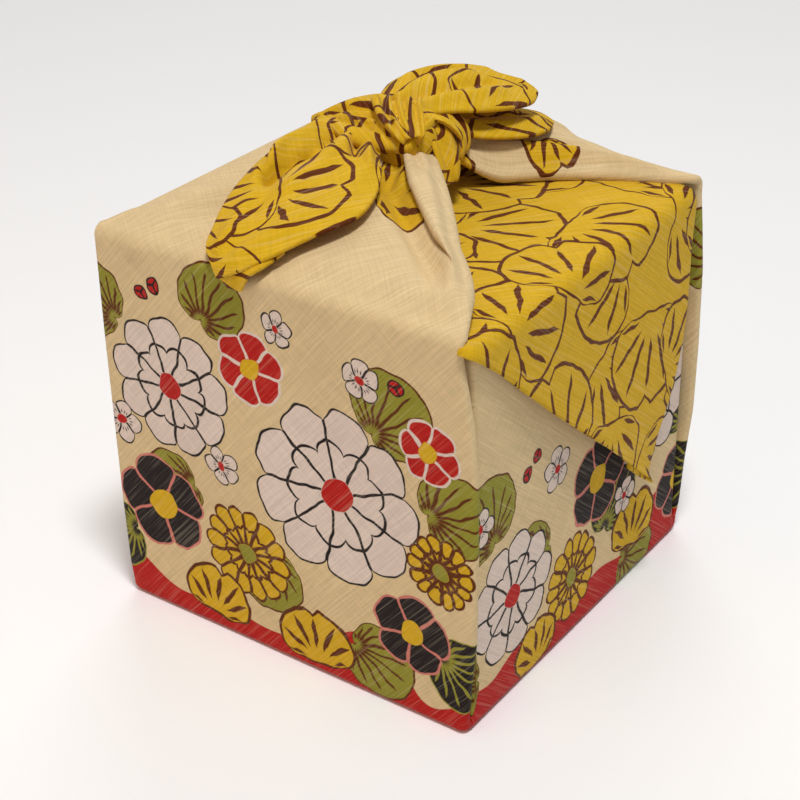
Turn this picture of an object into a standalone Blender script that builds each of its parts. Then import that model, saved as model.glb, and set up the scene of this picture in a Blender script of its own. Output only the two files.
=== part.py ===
"""Furoshiki wrap: one square cloth folded round a cube-shaped gift and knotted on top.

The cloth is a thin hollow solid. Corner A rises up the +X side and lies flat over the top. Corner B
rises up the -X side, covers A and hangs down the +X side as a pointed flap. The front (-Y) and back
(+Y) corners rise as two tent-like panels with rolled edges and are tied in a square knot, whose
ears lie over the front and the back.

Origin: middle of the underside. +Z up. All sizes below are in millimetres.
"""
from collections import namedtuple
from math import cos, exp, pi, radians, sin

import bmesh
import bpy
import numpy as np
from mathutils import Vector

MM = 0.001

# Driving sizes
EDGE = 152.0            # edge of the wrapped cube
CLOTH = 1.5             # thickness of the folded cloth
HALF = EDGE / 2
LAYER_GAP = 0.6         # air between two layers of cloth

# Bottom and sides
BOTTOM_ROUND = 3.0      # radius between underside and sides
FOLD_ROUND = 3.0        # radius of the fold down each upright edge
FOLD_STEP = 5.0         # width over which that fold falls back to the side
SIDE_SAG = 0.7          # unevenness of the stretched sides
WALL_TOP = EDGE - 8.0   # where the sides end and the upper corners begin

# Layers on top
TENT_ROUND = 4.5        # radius of the front and back top edges
OVER_TOP = EDGE - 3.0   # upper face of corner B
UNDER_TOP = OVER_TOP - CLOTH - LAYER_GAP    # upper face of corner A, below B
UNDER_ROUND = UNDER_TOP - WALL_TOP          # radius of A over the +X edge
FLAP_ROUND = OVER_TOP - WALL_TOP            # radius of B over the +X edge
BEND_HALF = 70.5        # half width of A and B where they leave the sides
LID_HALF = 69.0         # half width of A and B on top
TAIL_END = -30.0        # x where corner A ends, out of sight
TAIL_HALF = 46.0        # its half width there
BACK_BEND_ROUND = 2.4   # radius of B over the -X edge
LEFT_RISE = 1.6         # how much B stands up in the middle of that edge

# The flap that hangs on the +X side
FLAP_TIP_Y = 37.0
FLAP_TIP_Z = EDGE - 106.0
FLAP_LIFT = 3.0         # how far its lower left edge stands off the side
FLAP_WAVE = 0.8         # height of its soft waves
FLAP_ROWS = 11

# The two panels that rise to the knot, and their rolled edges
TENT_SLOPE = radians(78)                # turn of the cloth round the front and back top edges
PANEL_ROWS = (0.08, 0.2, 0.34, 0.48, 0.62, 0.76, 0.88, 1.0)     # shares of the way to the knot
PANEL_PLACES = (0.22, 0.42, 0.58, 0.7, 0.8, 0.88, 0.94, 1.0)    # shares of its half width
ROLL = 3.0
ROLL_EXTRA = 20.0       # degrees by which a rolled edge turns under past the upright
EDGE_LIFT = 3.6         # how far a rolled edge stands off the layers below it
RIDGE = 2.6             # height of the soft ridge just inside a rolled edge
RIDGE_PLACE = 6.0       # its distance from the edge
RIDGE_WIDTH = 5.0
VALLEY = 2.6            # depth of the trough beside that ridge
VALLEY_PLACE = 19.0
VALLEY_WIDTH = 6.5

# The far left back corner stands a little lower than the other three
SLUMP = 1.5

# Fineness of the meshes
SIDE_STEPS = 10
ARC_STEPS = 3
WALL_ROWS = 6
SLIVER = 0.02           # points this close, where strips of the knot meet, become one

Fold = namedtuple("Fold", "z bulge")
# How far the fold of an upright edge stands out past the +X or -X side, from the floor up
FRONT_RIGHT_FOLD = (Fold(0, 0.0), Fold(22, 1.1), Fold(40, 3.0), Fold(75, 3.5), Fold(104, 3.2),
                    Fold(122, 1.6), Fold(131, 0.8), Fold(WALL_TOP, 0.3))
BACK_RIGHT_FOLD = (Fold(0, 0.0), Fold(33, 1.7), Fold(56, 3.8), Fold(84, 4.0), Fold(115, 3.4),
                   Fold(131, 2.1), Fold(WALL_TOP, 0.8))
LEFT_FOLD = (Fold(0, 0.0), Fold(40, 0.8), Fold(110, 0.8), Fold(WALL_TOP, 0.4))

Edge = namedtuple("Edge", "z y")
# Right-hand folded edge of the flap, from the top down
FLAP_RIGHT = (Edge(EDGE - 106, FLAP_TIP_Y + 2.5), Edge(EDGE - 91, 45), Edge(EDGE - 81, 50),
              Edge(EDGE - 63, 57), Edge(EDGE - 49, 62), Edge(EDGE - 35, 65), Edge(WALL_TOP, 68.5))
# Left-hand raw edge of the flap, from the tip up
FLAP_LEFT = (Edge(EDGE - 106, FLAP_TIP_Y), Edge(49.9, 32.1), Edge(65.2, 15.2), Edge(76.5, 3.0),
             Edge(89.4, -12.2), Edge(108.6, -33.9), Edge(123.3, -49.6), Edge(135, -61.5),
             Edge(WALL_TOP, -72))
# Left end of the flap's rows on top and round the top edge, where it laps over the corner
FLAP_CORNER = (-70.5, -70.5, -72.5, -73, -72)

Panel = namedtuple("Panel", "side gather_x gather_y gather_z across_x across_y bulge puff swell")
FRONT = Panel(side=-1, gather_x=-2, gather_y=2, gather_z=EDGE + 16, across_x=9, across_y=5,
              bulge=1.5, puff=0.0, swell=2.4)
BACK = Panel(side=1, gather_x=-6, gather_y=16, gather_z=EDGE + 16, across_x=9, across_y=-3,
             bulge=5.0, puff=3.5, swell=0.0)

# A strip of gathered cloth in the knot: a row of stations, each from one edge (a) to the other (b),
# measured from the middle of the box top, with the crown of its arch and its thickness.
Station = namedtuple("Station", "ax ay az bx by bz crown thick")
LEFT_EAR = (
    Station(-34, 7, 16.5, -10, 4, 17, 2.0, 5.0),
    Station(-38, -4, 19.5, -3, -10, 18.5, 2.5, 3.8),
    Station(-35, -20, 20.5, 5, -20, 18, 2.5, 3.0),
    Station(-35.5, -33, 18.5, 12, -33.5, 16, 2.0, 3.0),
    Station(-35, -47.5, 14, 14, -47, 14, 2.0, 3.0),
    Station(-32.5, -59, 10, 7, -61, 11, 2.0, 3.0),
    Station(-29.3, -67, 7.5, -1, -73.5, 6.5, 1.5, 2.8),
    Station(-27, -73, 5.4, -7.9, -79.5, 2.4, 0.8, 2.4),
    Station(-24.7, -76.5, 4, -16.6, -81.5, -2, 0.3, 2.0),
)
RIGHT_EAR = (
    Station(-20, 12, 28, 0, 10, 28, 3.0, 6.0),
    Station(-25, 26, 29, 7, 20, 27.5, 4.0, 5.0),
    Station(-25, 40, 29, 14, 30, 26, 5.0, 4.0),
    Station(-21, 53, 28, 18.5, 41, 24.5, 4.5, 3.4),
    Station(-11, 62, 26.5, 20, 51, 23.5, 3.0, 3.0),
    Station(4, 65, 25, 17.5, 59, 24, 1.5, 2.6),
)
UNDER_EAR = (
    Station(-14, 22, 23, 6, 18, 22, 2.0, 5.0),
    Station(-12, 36, 20, 12, 28, 16.5, 2.0, 3.2),
    Station(-6, 50, 17.5, 22, 42, 14, 2.0, 3.0),
    Station(2, 60, 15.5, 25, 54, 13, 1.5, 2.8),
    Station(10, 66, 13.5, 22, 63, 12.5, 0.8, 2.6),
)
LEFT_LOBE = (
    Station(6, 14, 26, 5, -4, 20, -1.0, 9.0),
    Station(-8, 17, 29, -4, -8, 19.5, -2.5, 11.0),
    Station(-20, 17, 28.5, -14, -8.5, 19.5, -2.5, 10.0),
    Station(-31, 14, 25.5, -25, -5.5, 20, -1.5, 8.0),
    Station(-39, 9, 21.5, -35, -1, 19.5, -0.5, 5.5),
    Station(-43, 6, 19.5, -41.5, 2, 19, 0.0, 2.5),
)
BAND = (
    Station(-16, 15, 14, -5, 20, 14, 0.0, 6.0),
    Station(-23, 15, 24, -7, 23, 25, -1.0, 8.0),
    Station(-18, 6, 31, -2, 14, 31, -2.0, 8.0),
    Station(-9, -3, 28.5, 5, 5, 28.5, -2.0, 8.0),
    Station(-1.5, -7.5, 22, 7, -1.5, 22, -1.5, 6.5),
    Station(1, 0, 17, 5, 3, 17, 0.0, 5.0),
)
LOOP = (
    Station(-8, 6, 25, -14, 17, 26, 0.0, 4.0),
    Station(2, 8, 27, -5, 21, 28, -1.0, 4.0),
    Station(9, 11, 26.5, 2, 25, 26.5, -1.5, 3.6),
    Station(14, 14, 21, 8, 27, 20, -1.5, 3.4),
    Station(15, 13, 15, 10, 25, 13, -1.0, 3.4),
    Station(12, 12, 11, 7, 21, 9.5, 0.0, 3.4),
)
TAIL = (
    Station(-3, 4, 24, 0, 15, 24, -0.5, 6.0),
    Station(5, 6, 22, 8, 16, 22, -1.0, 5.0),
    Station(10, 5, 15, 12.5, 15, 15, -1.0, 4.0),
    Station(12.5, 4, 9.5, 15, 12, 10, -0.5, 3.2),
    Station(14, 4.5, 6.5, 15.5, 10, 6.5, 0.0, 2.2),
)

# A soft ridge (height above zero) or trough in a strip, from one place to another. Places are
# shares of the strip's length (along) and of its width (across); width is in millimetres.
Crease = namedtuple("Crease", "along_a across_a along_b across_b width height")
LEFT_EAR_CREASES = (
    Crease(0.08, 0.20, 0.44, 0.14, 4.5, 2.4),
    Crease(0.12, 0.45, 0.50, 0.28, 4.0, -2.6),
    Crease(0.50, 0.28, 0.72, 0.42, 5.5, -1.6),
    Crease(0.12, 0.72, 0.26, 0.84, 3.5, -1.8),
    Crease(0.20, 0.62, 0.80, 0.66, 6.0, 1.2),
)
RIGHT_EAR_CREASES = (
    Crease(0.00, 0.45, 0.55, 0.42, 4.5, 1.6),
    Crease(0.05, 0.70, 0.60, 0.66, 3.5, -1.8),
    Crease(0.10, 0.20, 0.60, 0.16, 4.0, -1.2),
)
BAND_CREASES = (
    Crease(0.15, 0.32, 0.80, 0.36, 2.6, -0.9),
    Crease(0.15, 0.66, 0.80, 0.64, 2.6, -0.9),
)
LEFT_LOBE_CREASES = (
    Crease(0.10, 0.36, 0.70, 0.42, 2.6, -1.1),
    Crease(0.10, 0.74, 0.60, 0.66, 2.2, -1.0),
)

# Name, stations, creases, whether it is a round bundle, which way out is, and how many steps
# along and across
Strip = namedtuple("Strip", "name stations creases bundle out along across")
STRIPS = (
    Strip("left_ear", LEFT_EAR, LEFT_EAR_CREASES, False, -1, 13, 10),
    Strip("right_ear", RIGHT_EAR, RIGHT_EAR_CREASES, False, 1, 10, 9),
    Strip("under_ear", UNDER_EAR, (), False, 1, 7, 6),
    Strip("left_lobe", LEFT_LOBE, LEFT_LOBE_CREASES, True, -1, 9, 14),
    Strip("band", BAND, BAND_CREASES, True, -1, 10, 16),
    Strip("loop", LOOP, (), True, -1, 10, 10),
    Strip("tail", TAIL, (), True, -1, 7, 10),
)
UNDER_ARCH = 0.85       # how far the underside of an ear follows the arch of its upper face
CORE_CENTRE = (-5.0, 8.0, EDGE + 18.5)
CORE_RADII = (13.0, 14.5, 11.5)


def clear_scene():
    for obj in list(bpy.data.objects):
        bpy.data.objects.remove(obj, do_unlink=True)


def between(table, height):
    """Second column of a two-column table, read at a height."""
    heights = [row[0] for row in table]
    values = [row[1] for row in table]
    return float(np.interp(height, heights, values))


def smooth(amount):
    amount = min(max(amount, 0.0), 1.0)
    return amount * amount * (3 - 2 * amount)


def slumped(point):
    """Lower the far left back corner of the top."""
    x, y, z = point
    share = (HALF - x) / EDGE * (HALF + y) / EDGE
    return Vector((x, y, z - SLUMP * share * max(z, 0.0) / EDGE))


def sag(along, height, phase):
    """Soft unevenness of a side, zero at its edges."""
    edge_fade = (1 - (along / HALF) ** 2) * sin(pi * min(max(height / EDGE, 0.0), 1.0))
    return SIDE_SAG * edge_fade * sin(along / 17 + height / 29 + phase)


def left_rise(x, y):
    """How much corner B stands up at a place, highest in the middle of the left top edge."""
    across = smooth((62 - abs(y)) / 30)
    return LEFT_RISE * across * (1 - smooth((x + HALF) / 50))


class Sheet:
    """A bmesh to which rows of points are added and joined."""

    def __init__(self):
        self.mesh = bmesh.new()

    def row(self, points):
        return [self.mesh.verts.new(slumped(point) * MM) for point in points]

    def join(self, lower, upper, closed=False):
        count = len(lower)
        last = count if closed else count - 1
        for index in range(last):
            after = (index + 1) % count
            self.mesh.faces.new((lower[index], lower[after], upper[after], upper[index]))


def side_columns():
    """Even places along a side between its two folds."""
    reach = HALF - FOLD_ROUND - FOLD_STEP
    return list(np.linspace(-reach, reach, SIDE_STEPS + 1))


def panel_columns():
    """Places across a panel as shares of its half width, closer together near the rolled edges."""
    return [-share for share in reversed(PANEL_PLACES)] + [0.0] + list(PANEL_PLACES)


def fold_bulges(z):
    front_right = between(FRONT_RIGHT_FOLD, z)
    back_right = between(BACK_RIGHT_FOLD, z)
    left = between(LEFT_FOLD, z)
    return front_right, back_right, left


def loop_at(z, inset):
    """Outline of the wrapped cube at one height, counter-clockwise from the front left fold.

    Returns the four stretches in order: front panel, +X side, back panel, -X side. The panels
    include their rolled folds, and the steps beside them belong to the sides.
    """
    front_right, back_right, left = fold_bulges(z)
    reach = HALF - inset

    def panel(side, left_bulge, right_bulge):
        points = []
        low = -(reach + left_bulge - FOLD_ROUND)
        high = reach + right_bulge - FOLD_ROUND
        for step in range(ARC_STEPS, 0, -1):
            angle = radians(90 * step / ARC_STEPS)
            points.append((low - FOLD_ROUND * sin(angle), FOLD_ROUND * (1 - cos(angle))))
        for share in panel_columns():
            x = (low + high) / 2 + share * (high - low) / 2
            points.append((x, -sag(x, z, 1.0 + side)))
        for step in range(1, ARC_STEPS + 1):
            angle = radians(90 * step / ARC_STEPS)
            points.append((high + FOLD_ROUND * sin(angle), FOLD_ROUND * (1 - cos(angle))))
        rows = [(x, side * (reach - depth), z) for x, depth in points]
        return rows if side < 0 else rows[::-1]

    def wall(side, front_bulge, back_bulge):
        points = []
        start = reach - FOLD_ROUND
        for y in side_columns():
            points.append((side * (reach + sag(y, z, 2.0 * side)), y))
        half_step = HALF - FOLD_ROUND - FOLD_STEP / 2
        points.insert(0, (side * (reach + front_bulge / 2), -min(half_step, start - 0.5)))
        points.append((side * (reach + back_bulge / 2), min(half_step, start - 0.5)))
        rows = [(x, y, z) for x, y in points]
        return rows if side > 0 else rows[::-1]

    front = panel(-1, left, front_right)
    right = wall(1, front_right, back_right)
    back = panel(1, left, back_right)
    left_side = wall(-1, left, left)
    return front, right, back, left_side


def add_box(sheet):
    """Underside and four sides in one skin. Returns the top row, split into its four stretches."""
    rows = []
    for step in range(ARC_STEPS + 1):
        angle = radians(90 * step / ARC_STEPS)
        height = BOTTOM_ROUND * (1 - cos(angle))
        rows.append((height, BOTTOM_ROUND * (1 - sin(angle))))
    for height in np.linspace(BOTTOM_ROUND, WALL_TOP, WALL_ROWS + 1)[1:]:
        rows.append((float(height), 0.0))
    previous = None
    stretches = None
    for height, inset in rows:
        parts = loop_at(height, inset)
        stretches = []
        verts = []
        for part in parts:
            made = sheet.row(part)
            stretches.append(made)
            verts.extend(made)
        if previous is None:
            sheet.mesh.faces.new(list(reversed(verts)))
        else:
            sheet.join(previous, verts, closed=True)
        previous = verts
    return stretches


def edge_relief(distance, along):
    """Ridge beside a rolled edge and the trough next to it, fading towards the box edge and,
    for the trough, towards the knot."""
    fade = smooth(along / 0.25)
    ridge = RIDGE * exp(-((distance - RIDGE_PLACE) / RIDGE_WIDTH) ** 2)
    trough = VALLEY * exp(-((distance - VALLEY_PLACE) / VALLEY_WIDTH) ** 2)
    return fade * (ridge - trough * smooth((1.05 - along) / 0.3))


def tent_row(panel, along, bend):
    """One row of a front or back panel. bend goes 0 to 1 round the top edge, and then along goes
    0 to 1 up to the knot."""
    front_right, back_right, left = fold_bulges(WALL_TOP)
    right = front_right if panel.side < 0 else back_right
    turn = TENT_SLOPE * bend
    start_y = panel.side * (HALF - TENT_ROUND + TENT_ROUND * cos(turn))
    start_z = EDGE - TENT_ROUND + TENT_ROUND * sin(turn)
    gather = Vector((panel.gather_x, panel.gather_y, panel.gather_z))
    across = Vector((panel.across_x, panel.across_y, 0))
    low = Vector((-(HALF + left - FOLD_ROUND), start_y, start_z)).lerp(gather - across, along)
    high = Vector((HALF + right - FOLD_ROUND, start_y, start_z)).lerp(gather + across, along)
    width = (high - low).length

    swing = smooth(along * 6)
    depth = Vector((0, -panel.side * cos(turn), -sin(turn)))
    depth = depth.lerp(Vector((0, 0, -1)), swing).normalized()
    out_right = Vector((1, 0, 0)).lerp(Vector((1, -panel.side, 0)).normalized(), swing)
    out_left = Vector((-1, 0, 0)).lerp(Vector((-1, -panel.side, 0)).normalized(), swing)
    round_now = FOLD_ROUND + (ROLL - FOLD_ROUND) * swing
    round_now *= 1 - 0.5 * smooth((along - 0.7) / 0.3)
    belly = panel.bulge * sin(pi * along)
    lift = Vector((0, 0, EDGE_LIFT * smooth(along * 8) * (1 - along ** 2)))
    low = low + out_left * belly * 0.4 + lift
    high = high + out_right * (belly + panel.swell * sin(pi * min(along * 2.5, 1.0))) + lift
    reach = radians(90 + ROLL_EXTRA * swing)

    points = []
    for step in range(ARC_STEPS, 0, -1):
        angle = reach * step / ARC_STEPS
        points.append(low + out_left * round_now * sin(angle) + depth * round_now * (1 - cos(angle)))
    for share in panel_columns():
        point = (low + high) / 2 + (high - low) / 2 * share
        distance = (1 - abs(share)) * width / 2
        puff = panel.puff * sin(pi * along ** 0.5) * (1 - share ** 2)
        points.append(point - depth * (edge_relief(distance, along) + puff))
    for step in range(1, ARC_STEPS + 1):
        angle = reach * step / ARC_STEPS
        points.append(high + out_right * round_now * sin(angle) + depth * round_now * (1 - cos(angle)))
    return points if panel.side < 0 else points[::-1]


def add_tent(sheet, panel, start):
    """Front or back panel from the top row of its side up to the knot."""
    previous = start
    stations = [(0.0, step / ARC_STEPS) for step in range(ARC_STEPS + 1)]
    stations += [(along, 1.0) for along in PANEL_ROWS]
    for along, bend in stations:
        row = sheet.row(tent_row(panel, along, bend))
        sheet.join(previous, row)
        previous = row


def lid_columns(low, high):
    """Places across a lid or the flap, as many as along the top of a side."""
    return [float(y) for y in np.linspace(low, high, SIDE_STEPS + 3)]


def add_under_corner(sheet, start):
    """Corner A: from the +X side flat over the top, under everything else."""
    previous = start
    for step in range(1, ARC_STEPS + 1):
        angle = radians(90 * step / ARC_STEPS)
        x = HALF - UNDER_ROUND * (1 - cos(angle))
        z = WALL_TOP + UNDER_ROUND * sin(angle)
        half = BEND_HALF + (LID_HALF - BEND_HALF) * step / ARC_STEPS
        row = sheet.row([(x, y, z) for y in lid_columns(-half, half)])
        sheet.join(previous, row)
        previous = row
    for share in (0.25, 0.5, 0.75, 1.0):
        x = HALF - UNDER_ROUND + (TAIL_END - HALF + UNDER_ROUND) * share
        half = LID_HALF + (TAIL_HALF - LID_HALF) * share
        row = sheet.row([(x, y, UNDER_TOP) for y in lid_columns(-half, half)])
        sheet.join(previous, row)
        previous = row


def flap_row(z):
    """A row of the flap where it hangs on the +X side."""
    low = between(FLAP_LEFT, z)
    high = between(FLAP_RIGHT, z)
    drop = (WALL_TOP - z) / (WALL_TOP - FLAP_TIP_Z)
    points = []
    for y in lid_columns(low, high):
        share = (y - low) / (high - low)
        lift = FLAP_LIFT * smooth(drop * 1.3) * (1 - 0.6 * share)
        wave = FLAP_WAVE * (1 + sin(y / 15 + z / 21)) * smooth(drop * 3)
        points.append((HALF - UNDER_ROUND + FLAP_ROUND + lift + wave, y, z))
    return points


def add_over_corner(sheet, start):
    """Corner B: from the -X side over the top and down the +X side, ending in the flap's tip."""
    previous = start
    rows = []
    for step in range(ARC_STEPS + 1):
        angle = radians(90 * step / ARC_STEPS)
        x = -HALF + BACK_BEND_ROUND * (1 - cos(angle))
        z = OVER_TOP - BACK_BEND_ROUND * (1 - sin(angle))
        half = BEND_HALF + (LID_HALF - BEND_HALF) * step / ARC_STEPS
        rows.append([(x, y, z + left_rise(x, y)) for y in lid_columns(-half, half)])
    straight_end = HALF - UNDER_ROUND
    for share in np.linspace(0, 1, 8)[1:]:
        x = -HALF + BACK_BEND_ROUND + (straight_end + HALF - BACK_BEND_ROUND) * share
        grow = smooth((share - 0.6) / 0.4)
        low = -LID_HALF + (FLAP_CORNER[0] + LID_HALF) * grow
        high = LID_HALF + (FLAP_RIGHT[-1].y - LID_HALF) * grow
        rows.append([(x, y, OVER_TOP + left_rise(x, y)) for y in lid_columns(low, high)])
    for step in range(1, 5):
        angle = radians(90 * step / 4)
        x = straight_end + FLAP_ROUND * sin(angle)
        z = WALL_TOP + FLAP_ROUND * cos(angle)
        rows.append([(x, y, z) for y in lid_columns(FLAP_CORNER[step], FLAP_RIGHT[-1].y)])
    for z in np.linspace(WALL_TOP, FLAP_TIP_Z, FLAP_ROWS + 1)[1:]:
        rows.append(flap_row(float(z)))
    for points in rows:
        row = sheet.row(list(reversed(points)))
        sheet.join(previous, row)
        previous = row


def sheet_object(material):
    sheet = Sheet()
    front, right, back, left = add_box(sheet)
    add_tent(sheet, FRONT, front)
    add_tent(sheet, BACK, back)
    add_under_corner(sheet, right)
    add_over_corner(sheet, left)
    mesh = bpy.data.meshes.new("wrap_cloth")
    sheet.mesh.to_mesh(mesh)
    sheet.mesh.free()
    mesh.materials.append(material)
    mesh.shade_smooth()
    obj = bpy.data.objects.new("wrap_cloth", mesh)
    bpy.context.collection.objects.link(obj)
    thickness = obj.modifiers.new("thickness", "SOLIDIFY")
    thickness.thickness = CLOTH * MM
    thickness.offset = -1.0
    obj.modifiers.new("flat_faces", "TRIANGULATE")
    return obj


def curve_through(stations, amount):
    """Smooth point on a table of stations, amount running from 0 to 1."""
    table = np.array(stations, dtype=float)
    place = amount * (len(table) - 1)
    index = min(int(place), len(table) - 2)
    t = place - index
    before = table[max(index - 1, 0)]
    first = table[index]
    second = table[index + 1]
    after = table[min(index + 2, len(table) - 1)]
    return 0.5 * (2 * first + (second - before) * t
                  + (2 * before - 5 * first + 4 * second - after) * t ** 2
                  + (3 * first - before - 3 * second + after) * t ** 3)


def crease_height(creases, along, across, length, width):
    """Sum of the ridges and troughs at a place on a strip."""
    place = Vector((along * length, across * width))
    height = 0.0
    for crease in creases:
        start = Vector((crease.along_a * length, crease.across_a * width))
        run = Vector((crease.along_b * length, crease.across_b * width)) - start
        share = min(max((place - start).dot(run) / run.length_squared, 0.0), 1.0)
        distance = (place - start - run * share).length
        height += crease.height * exp(-(distance / crease.width) ** 2)
    return height


def strip_frame(strip, along):
    """Edges, normal, crown and thickness of a strip at a share of its length."""
    values = curve_through(strip.stations, along)
    ahead = curve_through(strip.stations, min(along + 0.02, 1.0))
    behind = curve_through(strip.stations, max(along - 0.02, 0.0))
    edge_a = Vector(values[0:3])
    edge_b = Vector(values[3:6])
    travel = Vector(ahead[0:3] + ahead[3:6] - behind[0:3] - behind[3:6]).normalized()
    normal = (edge_b - edge_a).normalized().cross(travel).normalized() * strip.out
    return edge_a, edge_b, normal, values[6], values[7]


def ear_ring(strip, along, length):
    """Section of an ear: a thin arch with its creases."""
    edge_a, edge_b, normal, crown, thick = strip_frame(strip, along)
    width = (edge_b - edge_a).length
    upper = []
    lower = []
    for step in range(strip.across):
        share = step / (strip.across - 1)
        arch = sin(pi * share) ** 0.8 if 0 < share < 1 else 0.0
        base = edge_a.lerp(edge_b, share)
        crease = crease_height(strip.creases, along, share, length, width) * smooth(arch * 2)
        upper.append(base + normal * (crown * arch + crease))
        depth = thick * (0.6 + 0.4 * arch)
        lower.append(base + normal * (crown * arch * UNDER_ARCH + crease - depth))
    return upper + lower[::-1]


def bundle_ring(strip, along, length):
    """Section of a round bundle of gathers: an oval from edge to edge, bent up by its crown."""
    edge_a, edge_b, normal, crown, thick = strip_frame(strip, along)
    width = (edge_b - edge_a).length
    ring = []
    for step in range(strip.across):
        angle = 2 * pi * step / strip.across
        share = (1 - cos(angle)) / 2
        height = crown * sin(pi * share) + thick / 2 * sin(angle)
        if angle < pi:
            height += crease_height(strip.creases, along, share, length, width)
        ring.append(edge_a.lerp(edge_b, share) + normal * height)
    return ring


def strip_object(strip, material):
    """A closed strip of the knot, from its first station to its last."""
    first = strip.stations[0]
    last = strip.stations[-1]
    length = (Vector(last[0:3]) - Vector(first[0:3])).length
    mesh = bmesh.new()
    rings = []
    for step in range(strip.along):
        along = step / (strip.along - 1)
        points = bundle_ring(strip, along, length) if strip.bundle else ear_ring(strip, along, length)
        rings.append([mesh.verts.new(slumped(point + Vector((0, 0, EDGE))) * MM) for point in points])
    for before, ring in zip(rings, rings[1:]):
        for index in range(len(ring)):
            after = (index + 1) % len(ring)
            mesh.faces.new((before[index], before[after], ring[after], ring[index]))
    mesh.faces.new(list(reversed(rings[0])))
    mesh.faces.new(rings[-1])
    bmesh.ops.recalc_face_normals(mesh, faces=mesh.faces)
    return cutter_object(strip.name, mesh, material)


def core_object(material):
    """The tight middle of the knot, which all its strips run into."""
    mesh = bmesh.new()
    bmesh.ops.create_icosphere(mesh, subdivisions=2, radius=1.0)
    for vert in mesh.verts:
        place = Vector(CORE_CENTRE) + Vector([share * radius for share, radius in zip(vert.co, CORE_RADII)])
        vert.co = slumped(place) * MM
    return cutter_object("knot_core", mesh, material)


def cutter_object(name, mesh, material):
    """An object that is only fused into the cloth and isn't built by itself."""
    data = bpy.data.meshes.new(name)
    mesh.to_mesh(data)
    mesh.free()
    data.materials.append(material)
    data.shade_smooth()
    obj = bpy.data.objects.new(name, data)
    bpy.context.collection.objects.link(obj)
    obj.modifiers.new("flat_faces", "TRIANGULATE")
    obj.hide_render = True
    obj.display_type = "WIRE"
    return obj


def fuse(target, part):
    modifier = target.modifiers.new(part.name, "BOOLEAN")
    modifier.operation = "UNION"
    modifier.solver = "EXACT"
    modifier.object = part


def printed_cotton():
    """Slub-weave cotton: matt, warm cream."""
    material = bpy.data.materials.new("printed_cotton")
    material.use_nodes = True
    shader = material.node_tree.nodes["Principled BSDF"]
    shader.inputs["Base Color"].default_value = (0.68, 0.54, 0.32, 1)
    shader.inputs["Roughness"].default_value = 0.85
    shader.inputs["Metallic"].default_value = 0.0
    material.diffuse_color = (0.68, 0.54, 0.32, 1)
    return material


def build():
    clear_scene()
    cotton = printed_cotton()
    cloth = sheet_object(cotton)
    fuse(cloth, core_object(cotton))
    for strip in STRIPS:
        fuse(cloth, strip_object(strip, cotton))
    slivers = cloth.modifiers.new("no_slivers", "WELD")
    slivers.merge_threshold = SLIVER * MM


build()
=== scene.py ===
"""Furoshiki wrap: looks of the printed cotton cloth that is folded round a cube and knotted on top.

The whole wrap is one square cloth. Each point of it has a place on the flat square (p along X, q
along Y, in millimetres from the square's middle), and the print and the weave are drawn from that
place, so they run on over every fold. The cloth's sizes are in millimetres; MM turns them to metres
where a mesh is made. Floor and lights are placed in metres.
"""
from collections import namedtuple
from functools import partial
from math import cos, exp, pi, radians, sin

import bmesh
import bpy
import numpy as np
from mathutils import Matrix, Vector


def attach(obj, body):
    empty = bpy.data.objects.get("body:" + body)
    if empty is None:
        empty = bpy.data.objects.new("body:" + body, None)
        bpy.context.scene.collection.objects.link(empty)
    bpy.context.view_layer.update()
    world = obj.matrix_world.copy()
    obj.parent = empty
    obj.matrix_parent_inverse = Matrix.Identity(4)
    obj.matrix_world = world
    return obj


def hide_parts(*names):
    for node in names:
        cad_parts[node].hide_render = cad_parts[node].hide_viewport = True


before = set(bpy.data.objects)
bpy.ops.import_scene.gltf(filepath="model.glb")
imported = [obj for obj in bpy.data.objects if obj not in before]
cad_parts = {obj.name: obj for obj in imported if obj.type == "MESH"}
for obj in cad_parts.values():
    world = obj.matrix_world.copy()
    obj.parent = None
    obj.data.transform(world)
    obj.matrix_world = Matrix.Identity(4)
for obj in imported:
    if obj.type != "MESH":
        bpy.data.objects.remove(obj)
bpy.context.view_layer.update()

MM = 0.001


def table(kind, text):
    """Rows of named values: words and numbers, with a comma between rows."""
    return tuple(kind(*(word if word[0].isalpha() else float(word) for word in row.split()))
                 for row in text.split(","))


# ---------- sizes of the wrap
EDGE = 152.0  # edge of the wrapped cube
HALF = EDGE / 2
CLOTH_CORNER = 495.0  # from its middle to a corner
THREAD_SHEET = 0.6  # thickness of one layer of the cotton

BOTTOM_ROUND = 3.0
CORNER_ROUND = 3.0  # radius of an upright edge at the floor, below its fold
FOLD_ROUND = 1.6  # radius of the turned edge of a side panel
FOLD_STARTS = 14.0  # height at which an upright edge has become a full fold
PLEAT_SHARE = 0.94  # width of the pleat behind an upright edge, as a share of its height
PLEAT_END = 2.0  # from the box's edge to the inner end of the pleat
PLEAT_GAP = 1.2  # from one hidden layer of a pleat to the next
LAYER_GAP = 0.2  # from a panel's turned edge to the pleat behind it
WALL_START = 6.4  # from a panel to where the side next to it lies flat
SIDE_SAG = 0.7
PANEL_SLACK = 2.4  # how much slacker front and back are than the two sides under the lid
WALL_TOP = EDGE - 8.0

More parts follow.
